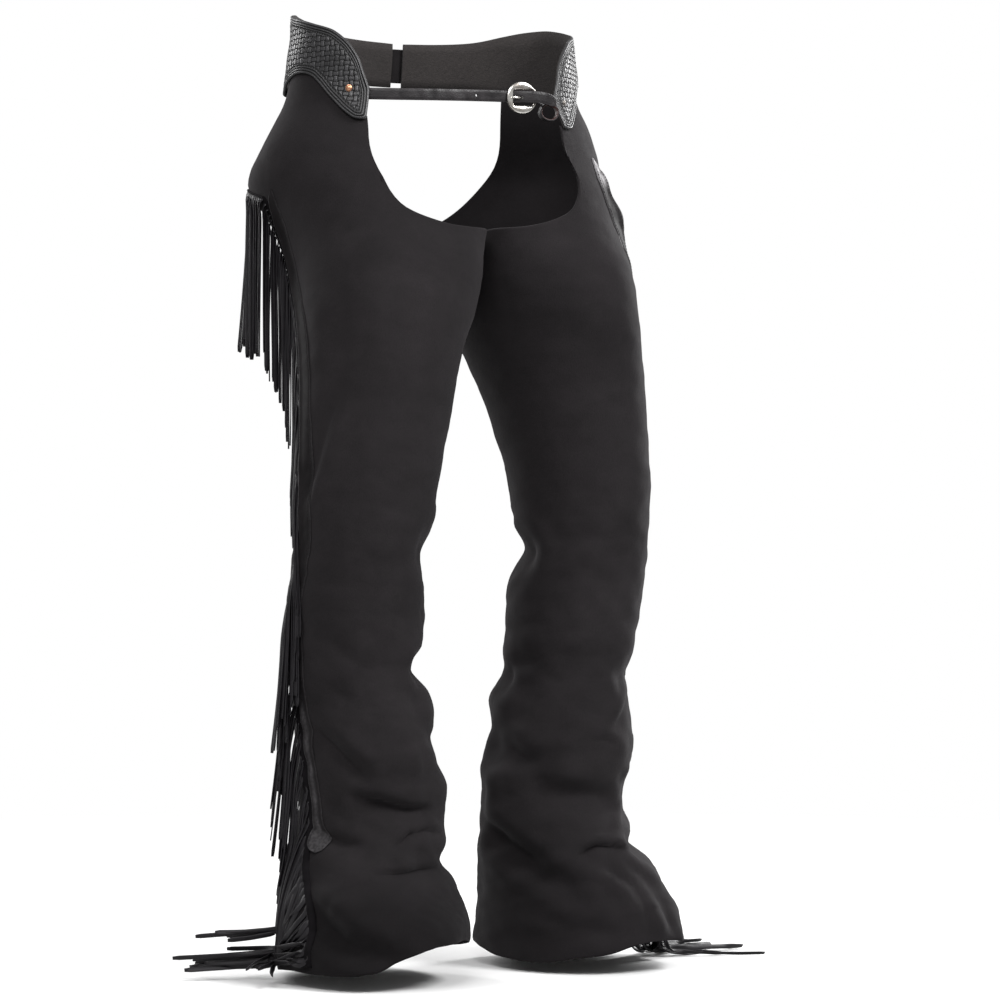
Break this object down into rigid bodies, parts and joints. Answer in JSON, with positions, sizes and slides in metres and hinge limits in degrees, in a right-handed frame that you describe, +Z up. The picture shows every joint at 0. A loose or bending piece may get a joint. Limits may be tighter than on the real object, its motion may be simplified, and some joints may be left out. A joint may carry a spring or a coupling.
{
  "type": "leather chaps",
  "caption": "Black suede show chaps in worn form: two hollow full-length legs open at the seat, tooled hip yokes, front strap with buckle, long side fringe.",
  "frame": {"origin": "centre of the waist, inside the yokes, at the height of the front strap's lower edge", "axes": "+Z up along the body, -Y the way the wearer faces, +X to the wearer's left"},
  "size_m": [0.69, 0.3412, 1.0388],
  "materials": {
    "suede": "black napped suede, matt",
    "smooth_leather": "black grain leather, low sheen",
    "fringe_leather": "black thin leather strips, low sheen",
    "tooled_leather": "black basket-tooled grain leather, semi-gloss",
    "strap_leather": "worn black strap leather, low sheen",
    "nickel_silver": "polished nickel silver",
    "copper": "burnished copper"
  },
  "bodies": {
    "root": {"leg_right": "suede", "leg_left": "suede", "placket_right": "smooth_leather", "placket_left": "smooth_leather", "yoke_right": "tooled_leather", "yoke_left": "tooled_leather", "fringe_right": "fringe_leather", "fringe_left": "fringe_leather", "fringe_floor_right": "fringe_leather", "fringe_floor_left": "fringe_leather", "back_tab": "smooth_leather", "front_strap": "strap_leather", "buckle_strap": "strap_leather", "keeper_loop": "strap_leather", "buckle_ring": "nickel_silver", "buckle_tongue": "nickel_silver", "rivet_right": "copper", "rivet_left": "nickel_silver"}
  },
  "joints": []
}
